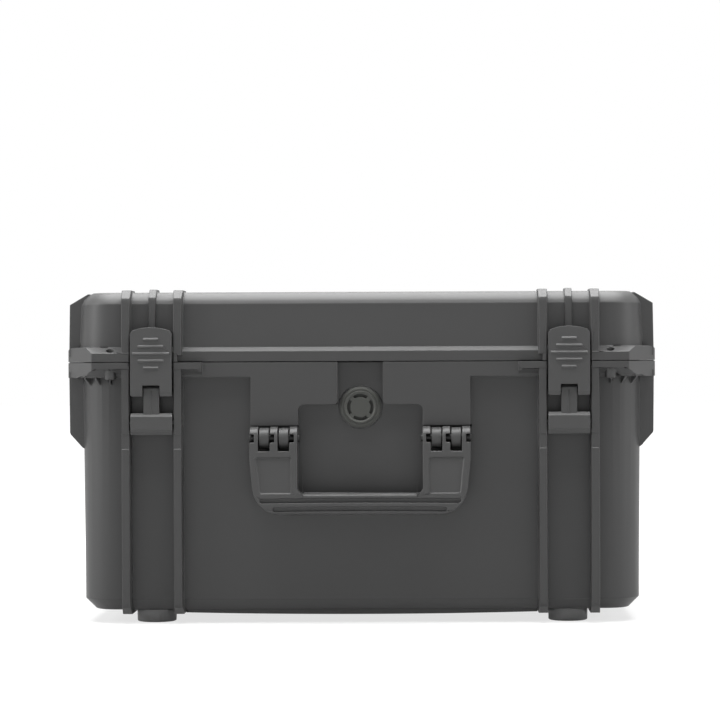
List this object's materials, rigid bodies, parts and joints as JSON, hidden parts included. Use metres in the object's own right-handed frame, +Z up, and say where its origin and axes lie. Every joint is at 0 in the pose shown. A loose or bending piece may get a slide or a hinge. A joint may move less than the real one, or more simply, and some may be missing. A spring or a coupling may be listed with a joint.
{
  "type": "hard tool case",
  "caption": "Watertight hard tool case with a deep base, a hinged lid, two draw latches, a folding carry handle, a pressure valve and rubber feet.",
  "frame": {"origin": "on the floor under the middle of the bounding box", "axes": "+X to the right seen from the front, -Y out of the front with the handle, +Z up"},
  "size_m": [0.555, 0.428, 0.3126],
  "materials": {
    "shell_plastic": "moulded satin polypropylene",
    "latch_plastic": "moulded satin nylon",
    "handle_plastic": "moulded satin nylon",
    "pin_plastic": "moulded nylon",
    "pin_steel": "drawn stainless rod",
    "seal_rubber": "moulded rubber",
    "foot_rubber": "moulded rubber",
    "membrane": "white membrane",
    "valve_plastic": "moulded satin nylon"
  },
  "bodies": {
    "base": {"base_shell": "shell_plastic", "link_pin_left": "pin_steel", "link_pin_right": "pin_steel", "hinge_pin_left": "pin_steel", "hinge_pin_right": "pin_steel", "handle_pin_left": "pin_plastic", "handle_pin_right": "pin_plastic", "valve_body": "valve_plastic", "valve_cap": "valve_plastic", "valve_membrane": "membrane", "valve_seal": "seal_rubber", "valve_nut": "valve_plastic", "foot_front_left": "foot_rubber", "foot_front_right": "foot_rubber", "foot_rear_left": "foot_rubber", "foot_rear_right": "foot_rubber"},
    "lid": {"lid_shell": "shell_plastic", "lid_seal": "seal_rubber"},
    "link_left": {"latch_link_left": "latch_plastic"},
    "link_right": {"latch_link_right": "latch_plastic"},
    "lever_left": {"latch_lever_left": "latch_plastic", "lever_pin_left": "pin_steel"},
    "lever_right": {"latch_lever_right": "latch_plastic", "lever_pin_right": "pin_steel"},
    "handle": {"carry_handle": "handle_plastic"}
  },
  "joints": [
    {"name": "lid_hinge", "type": "hinge", "parent": "base", "child": "lid", "pos_m": [0, 0.207, 0.2441], "axis": [-1, 0, 0], "range_deg": [0, 100]},
    {"name": "link_left_pivot", "type": "hinge", "parent": "base", "child": "link_left", "pos_m": [-0.1943, -0.1955, 0.1881], "axis": [1, 0, 0], "range_deg": [0, 60]},
    {"name": "link_right_pivot", "type": "hinge", "parent": "base", "child": "link_right", "pos_m": [0.1943, -0.1955, 0.1881], "axis": [1, 0, 0], "range_deg": [0, 60]},
    {"name": "lever_left_pivot", "type": "hinge", "parent": "link_left", "child": "lever_left", "pos_m": [-0.1943, -0.1955, 0.2176], "axis": [1, 0, 0], "range_deg": [0, 100]},
    {"name": "lever_right_pivot", "type": "hinge", "parent": "link_right", "child": "lever_right", "pos_m": [0.1943, -0.1955, 0.2176], "axis": [1, 0, 0], "range_deg": [0, 100]},
    {"name": "handle_pivot", "type": "hinge", "parent": "base", "child": "handle", "pos_m": [0, -0.1995, 0.1734], "axis": [-1, 0, 0], "range_deg": [0, 95]}
  ]
}
